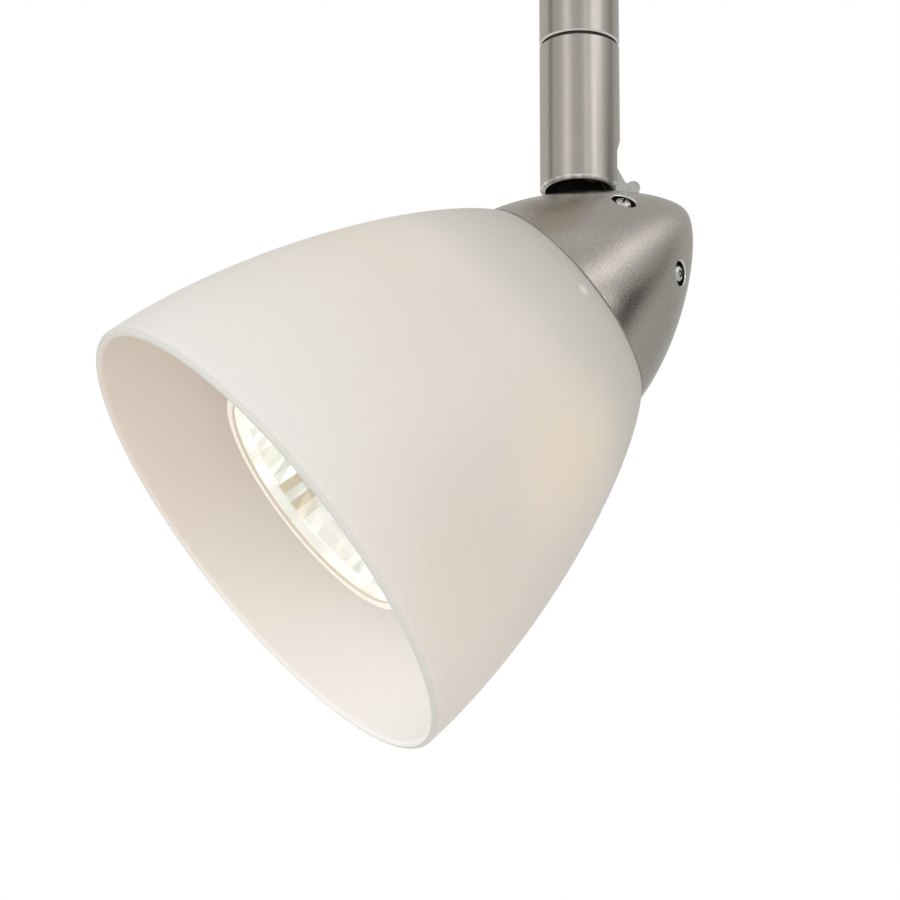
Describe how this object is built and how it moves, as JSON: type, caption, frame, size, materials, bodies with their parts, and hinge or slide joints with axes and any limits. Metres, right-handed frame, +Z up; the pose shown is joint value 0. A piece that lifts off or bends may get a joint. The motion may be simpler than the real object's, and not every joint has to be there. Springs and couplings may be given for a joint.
{
  "type": "track lighting fixture",
  "caption": "Spot head for lighting track: an opal glass bell on a domed metal cap tilts and turns on a short tubular stem below a track adapter.",
  "frame": {"origin": "on the adapter's top face, which lies against the track, at the stem's centre line", "axes": "+Z up into the track, X along the track, the head aims along -Y and down at rest"},
  "size_m": [0.1008, 0.1103, 0.2091],
  "materials": {
    "satin_nickel": "satin",
    "bright_steel": "polished",
    "zinc_steel": "satin",
    "contact_brass": "satin",
    "silver_plastic": "matte",
    "black_plastic": "matte",
    "dark_nylon": "matte",
    "opal_glass": "satin",
    "cast_aluminium": "satin",
    "white_ceramic": "matte",
    "clear_silicone": "matte",
    "lamp_glass": "clear",
    "lamp_mirror": "polished",
    "quartz": "clear",
    "black_sleeving": "matte",
    "white_sleeving": "matte"
  },
  "bodies": {
    "adapter": {"adapter_housing": "silver_plastic", "adapter_cover": "silver_plastic", "contact_head": "black_plastic", "ground_block": "black_plastic", "hot_contact": "contact_brass", "neutral_contact": "contact_brass", "ground_contact": "contact_brass", "cover_screw_1": "zinc_steel", "cover_screw_2": "zinc_steel", "cover_screw_3": "zinc_steel", "cover_screw_4": "zinc_steel", "lock_spring": "zinc_steel", "stem_nipple": "zinc_steel", "stem_washer": "zinc_steel", "stem_nut": "zinc_steel", "tube_plug": "zinc_steel", "upper_tube": "satin_nickel", "swivel_plug": "zinc_steel", "swivel_washer": "dark_nylon", "stop_pin": "zinc_steel", "lead_hot_upper": "black_sleeving", "lead_neutral_upper": "white_sleeving"},
    "lock": {"lock_tab": "black_plastic"},
    "swivel": {"swivel_spindle": "zinc_steel", "spring_washer": "zinc_steel", "spindle_nut": "zinc_steel", "knuckle_sleeve": "satin_nickel", "knuckle_block": "zinc_steel", "tilt_pin": "zinc_steel", "tilt_washer_left": "dark_nylon", "tilt_washer_right": "dark_nylon", "lead_hot_lower": "black_sleeving", "lead_neutral_lower": "white_sleeving"},
    "head": {"hinge_arm": "bright_steel", "arm_screw": "zinc_steel", "cap": "satin_nickel", "cap_screw_1": "bright_steel", "cap_screw_2": "bright_steel", "cap_screw_3": "bright_steel", "cap_screw_4": "bright_steel", "head_plate": "cast_aluminium", "holder_screw_1": "zinc_steel", "holder_screw_2": "zinc_steel", "lampholder": "white_ceramic", "holder_contact_1": "contact_brass", "holder_contact_2": "contact_brass", "gasket_rear": "clear_silicone", "gasket_front": "clear_silicone", "shade_ring": "white_ceramic", "glass_shade": "opal_glass"},
    "lamp": {"lamp_base": "white_ceramic", "lamp_pin_1": "zinc_steel", "lamp_pin_2": "zinc_steel", "lamp_reflector": "lamp_mirror", "lamp_lens": "lamp_glass", "lamp_burner": "quartz"}
  },
  "joints": [
    {"name": "lock_slide", "type": "slide", "parent": "adapter", "child": "lock", "axis": [0, 0, -1], "range_m": [0, 0.0036], "stiffness_N_per_m": 400, "springref_m": -0.001, "deforming": ["lock_spring"]},
    {"name": "pan", "type": "hinge", "parent": "adapter", "child": "swivel", "pos_m": [0, 0, -0.0583], "axis": [0, 0, 1], "range_deg": [-160, 160]},
    {"name": "tilt", "type": "hinge", "parent": "swivel", "child": "head", "pos_m": [0, 0.003, -0.0813], "axis": [1, 0, 0], "range_deg": [-10, 50], "deforming": ["lead_hot_lower", "lead_neutral_lower"]},
    {"name": "lamp_twist", "type": "hinge", "parent": "head", "child": "lamp", "pos_m": [0, -0.01343, -0.12021], "axis": [0, -0.7536, -0.6574], "range_deg": [0, 35]}
  ]
}
